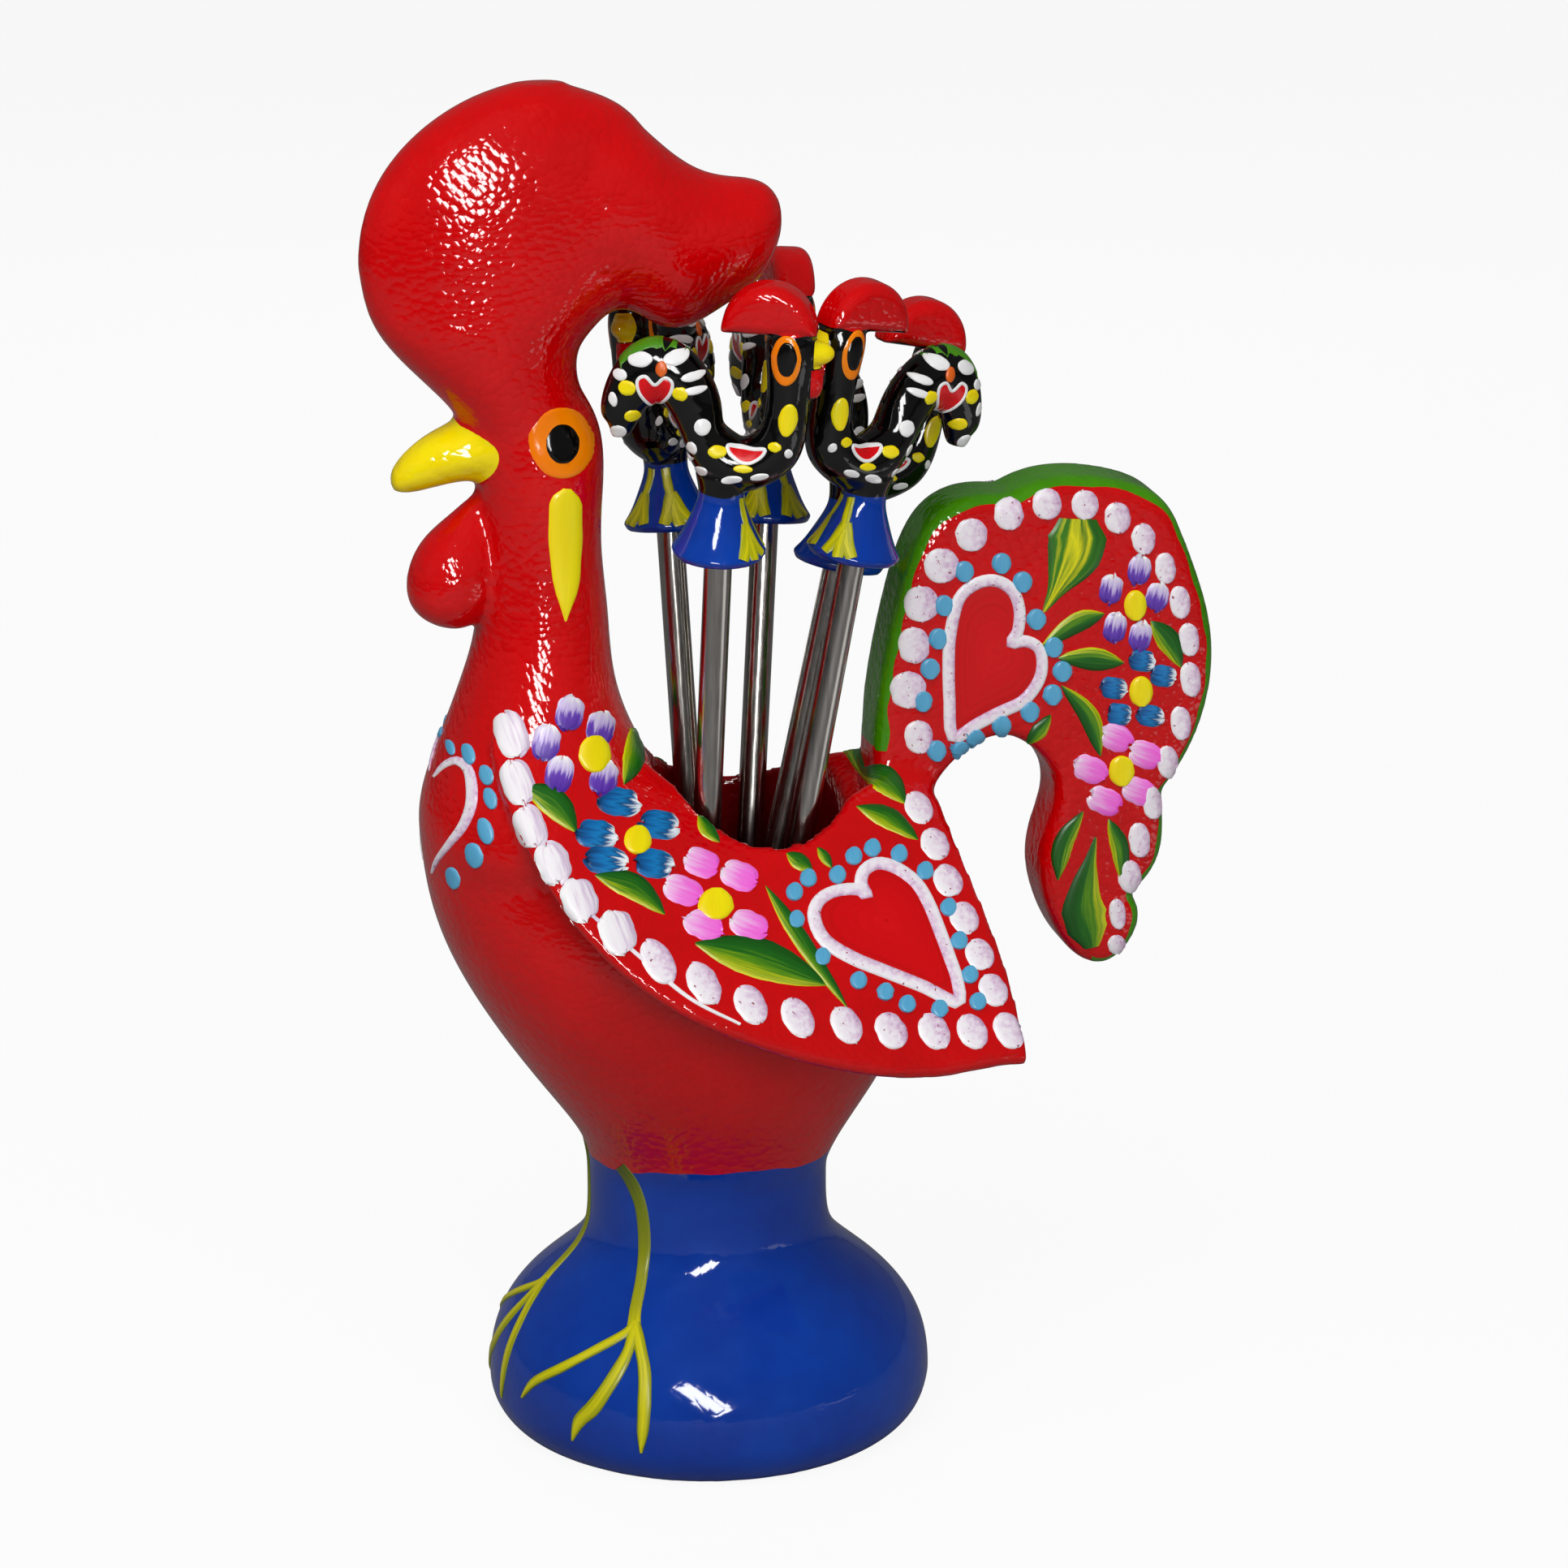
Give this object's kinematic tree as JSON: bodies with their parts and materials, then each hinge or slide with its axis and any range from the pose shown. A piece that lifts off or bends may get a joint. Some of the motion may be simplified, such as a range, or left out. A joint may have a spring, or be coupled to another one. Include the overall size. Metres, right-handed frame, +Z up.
{
  "type": "rooster of barcelos fork holder",
  "caption": "Painted clay rooster of Barcelos on a bell foot, with a cup in its back that holds party forks topped by small cast roosters.",
  "frame": {"origin": "centre of the foot's rest ring, on the table", "axes": "+Z up, the rooster looks along -X, its left side at -Y"},
  "size_m": [0.0895, 0.0546, 0.1464],
  "materials": {
    "red_enamel": "gloss enamel paint on fired clay",
    "blue_enamel": "gloss enamel paint on fired clay",
    "yellow_enamel": "gloss enamel paint on fired clay",
    "black_enamel": "gloss enamel paint on a cast metal rooster",
    "polished_steel": "polished stainless steel"
  },
  "bodies": {
    "holder": {"foot": "blue_enamel", "body": "red_enamel", "neck_head": "red_enamel", "comb": "red_enamel", "beak": "yellow_enamel", "wattle": "red_enamel", "tail": "red_enamel", "left_wing": "red_enamel", "right_wing": "red_enamel"},
    "fork_1": {"fork_1_finial": "black_enamel", "fork_1_shank": "polished_steel"},
    "fork_2": {"fork_2_finial": "black_enamel", "fork_2_shank": "polished_steel"},
    "fork_3": {"fork_3_finial": "black_enamel", "fork_3_shank": "polished_steel"},
    "fork_4": {"fork_4_finial": "black_enamel", "fork_4_shank": "polished_steel"},
    "fork_5": {"fork_5_finial": "black_enamel", "fork_5_shank": "polished_steel"}
  },
  "joints": [
    {"name": "fork_1_lift", "type": "slide", "parent": "holder", "child": "fork_1", "axis": [0.0221, -0.0935, 0.9954], "range_m": [0, 0.075]},
    {"name": "fork_2_lift", "type": "slide", "parent": "holder", "child": "fork_2", "axis": [-0.0306, 0.1412, 0.9895], "range_m": [0, 0.075]},
    {"name": "fork_3_lift", "type": "slide", "parent": "holder", "child": "fork_3", "axis": [0.0867, 0.1497, 0.9849], "range_m": [0, 0.075]},
    {"name": "fork_4_lift", "type": "slide", "parent": "holder", "child": "fork_4", "axis": [0.1786, -0.0119, 0.9839], "range_m": [0, 0.075]},
    {"name": "fork_5_lift", "type": "slide", "parent": "holder", "child": "fork_5", "axis": [0.2211, 0.0476, 0.9741], "range_m": [0, 0.075]}
  ]
}
